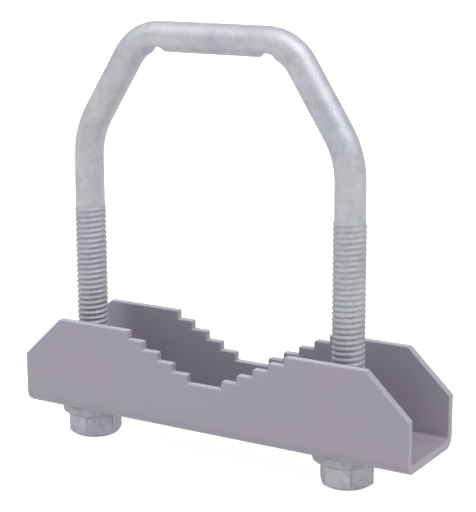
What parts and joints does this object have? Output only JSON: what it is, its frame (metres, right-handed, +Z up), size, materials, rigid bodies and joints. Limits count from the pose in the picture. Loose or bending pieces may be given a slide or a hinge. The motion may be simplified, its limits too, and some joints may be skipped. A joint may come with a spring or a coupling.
{
  "type": "mast u-bolt clamp",
  "caption": "Galvanised U-bolt with a flat crown and threaded legs, a folded channel saddle with a stepped notch, and flange nuts that pull the saddle against a mast.",
  "frame": {"origin": "on the surface that the clamp stands on, under the middle of the saddle", "axes": "+X along the saddle from leg to leg, +Y along the mast, +Z up along the legs towards the crown"},
  "size_m": [0.128, 0.029, 0.1271],
  "materials": {
    "galvanised_steel": "hot-dip galvanised, matt light grey with faint spangle",
    "coated_sheet": "satin grey coat over folded steel sheet"
  },
  "bodies": {
    "u_bolt": {"u_bolt": "galvanised_steel"},
    "saddle": {"saddle": "coated_sheet"},
    "left_nut": {"flange_nut_left": "galvanised_steel"},
    "right_nut": {"flange_nut_right": "galvanised_steel"}
  },
  "joints": [
    {"name": "saddle_slide", "type": "slide", "parent": "u_bolt", "child": "saddle", "axis": [0, 0, 1], "range_m": [0, 0.05715]},
    {"name": "left_nut_turn", "type": "hinge", "parent": "saddle", "child": "left_nut", "pos_m": [-0.04905, 0, 0], "axis": [0, 0, 1], "range_deg": [0, 12961]},
    {"name": "right_nut_turn", "type": "hinge", "parent": "saddle", "child": "right_nut", "pos_m": [0.03845, 0, 0], "axis": [0, 0, 1], "range_deg": [0, 12961]}
  ],
  "couplings": [
    {"joint": "left_nut_turn", "follows": "saddle_slide", "rad_per_m": 3957.9},
    {"joint": "right_nut_turn", "follows": "saddle_slide", "rad_per_m": 3957.9}
  ]
}
